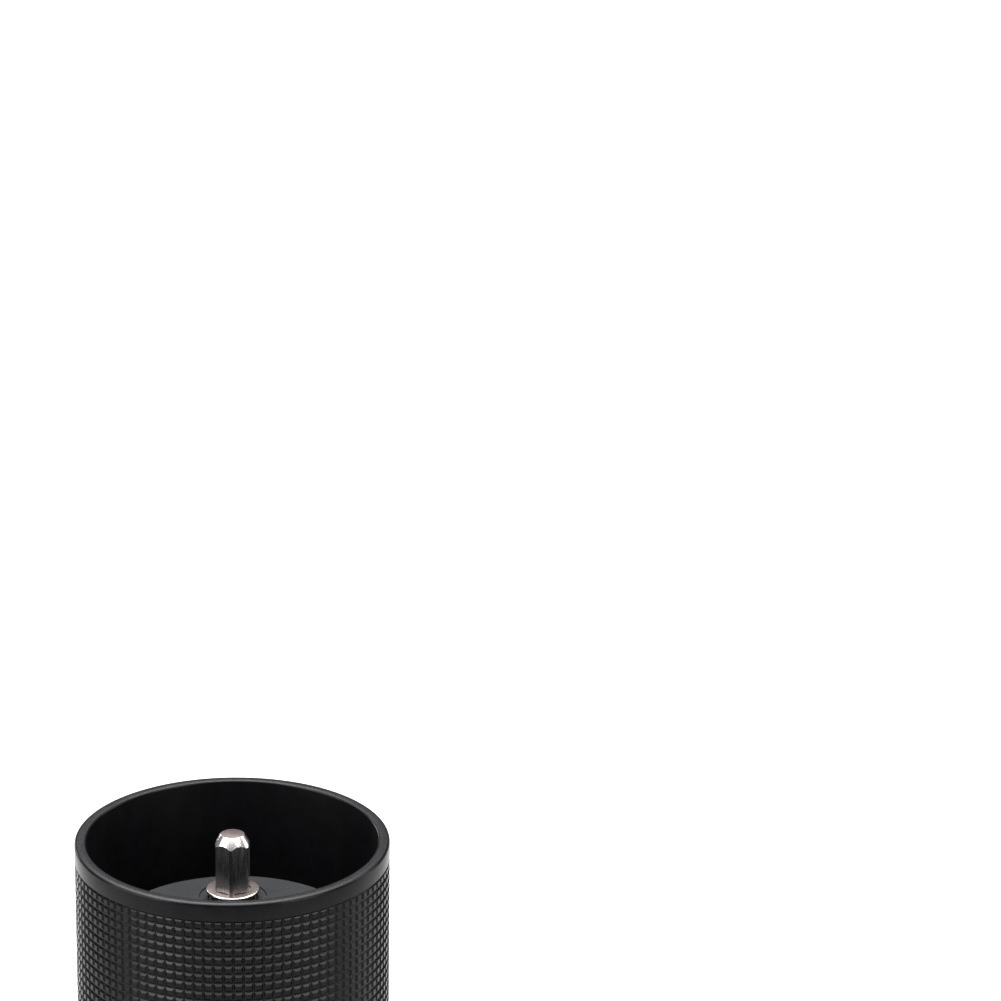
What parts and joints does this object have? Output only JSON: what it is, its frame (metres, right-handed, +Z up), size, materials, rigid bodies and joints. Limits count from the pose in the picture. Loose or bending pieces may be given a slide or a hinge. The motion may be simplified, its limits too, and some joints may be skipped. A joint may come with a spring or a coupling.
{
  "type": "hand crank coffee grinder",
  "caption": "Slim black hand crank coffee grinder with a waffle-knurled body, shown open with its lid and crank laid beside it; conical burrs, dial and catch cup inside.",
  "frame": {"origin": "centre of the flat face that the catch cup stands on", "axes": "+Z up along the grinder's axis, +X towards the laid down lid, -Y towards the viewer"},
  "size_m": [0.1392, 0.1622, 0.1389],
  "materials": {
    "black_anodised": "satin black anodised",
    "rubber": "matte",
    "grey_bridge": "fine blasted matte grey",
    "polished_steel": "polished steel",
    "satin_steel": "brushed",
    "fastener_steel": "satin",
    "bearing_steel": "ground and polished",
    "shield_steel": "pressed",
    "burr_steel": "machined",
    "bush_bronze": "sintered bronze",
    "wood": "oiled walnut",
    "wood_cap": "oiled end grain"
  },
  "bodies": {
    "catch_cup": {"catch_cup": "black_anodised", "cup_foot_pad": "rubber", "cup_seal": "rubber"},
    "grinder_body": {"outer_body": "black_anodised", "bearing_bridge": "grey_bridge", "bridge_screws": "fastener_steel", "upper_bearing_outer_race": "bearing_steel", "upper_bearing_balls": "bearing_steel", "upper_bearing_shield": "shield_steel", "lower_bearing_outer_race": "bearing_steel", "lower_bearing_balls": "bearing_steel", "lower_bearing_shield": "shield_steel", "burr_carrier": "black_anodised", "outer_burr": "burr_steel", "burr_snap_ring": "fastener_steel"},
    "drive_shaft": {"drive_shaft": "polished_steel", "shaft_collar": "polished_steel", "upper_bearing_inner_race": "bearing_steel", "lower_bearing_inner_race": "bearing_steel", "shaft_clip": "fastener_steel", "spring_washer": "fastener_steel", "burr_spring": "fastener_steel"},
    "inner_burr": {"inner_burr": "burr_steel", "index_plate": "fastener_steel"},
    "adjustment_dial": {"adjustment_dial": "black_anodised", "detent_balls": "bearing_steel"},
    "lid": {"lid_cap": "black_anodised", "lid_bush": "bush_bronze", "lid_seal": "rubber"},
    "crank": {"crank_hub": "satin_steel", "crank_arm": "satin_steel", "hub_screw": "polished_steel", "hub_clip": "fastener_steel", "knob_spindle": "polished_steel", "knob_screw": "polished_steel"},
    "knob": {"crank_knob": "wood", "knob_cap": "wood_cap"}
  },
  "joints": [
    {"name": "cup_release", "type": "slide", "parent": "catch_cup", "child": "grinder_body", "axis": [0, 0, 1], "range_m": [0, 0.06]},
    {"name": "shaft_spin", "type": "hinge", "parent": "grinder_body", "child": "drive_shaft", "pos_m": [0, 0, 0.128], "axis": [0, 0, 1], "continuous": true},
    {"name": "burr_shift", "type": "slide", "parent": "drive_shaft", "child": "inner_burr", "axis": [0, 0, -1], "range_m": [0, 0.0008], "deforming": ["burr_spring"]},
    {"name": "dial_turn", "type": "hinge", "parent": "inner_burr", "child": "adjustment_dial", "pos_m": [0, 0, 0.05], "axis": [0, 0, 1], "range_deg": [0, 360]},
    {"name": "lid_carry", "type": "hinge", "parent": "grinder_body", "child": "lid", "pos_m": [0.1096, 0, 0.1356], "axis": [0, -1, 0], "range_deg": [0, 270]},
    {"name": "crank_spin", "type": "hinge", "parent": "lid", "child": "crank", "pos_m": [0.1072, 0, 0.026], "axis": [-1, 0, 0], "continuous": true},
    {"name": "knob_spin", "type": "hinge", "parent": "crank", "child": "knob", "pos_m": [0.0772, -0.12421, 0.012], "axis": [-1, 0, 0], "continuous": true}
  ],
  "couplings": [
    {"joint": "shaft_spin", "follows": "crank_spin", "ratio": 1},
    {"joint": "burr_shift", "follows": "dial_turn", "m_per_rad": 0.00012732}
  ]
}
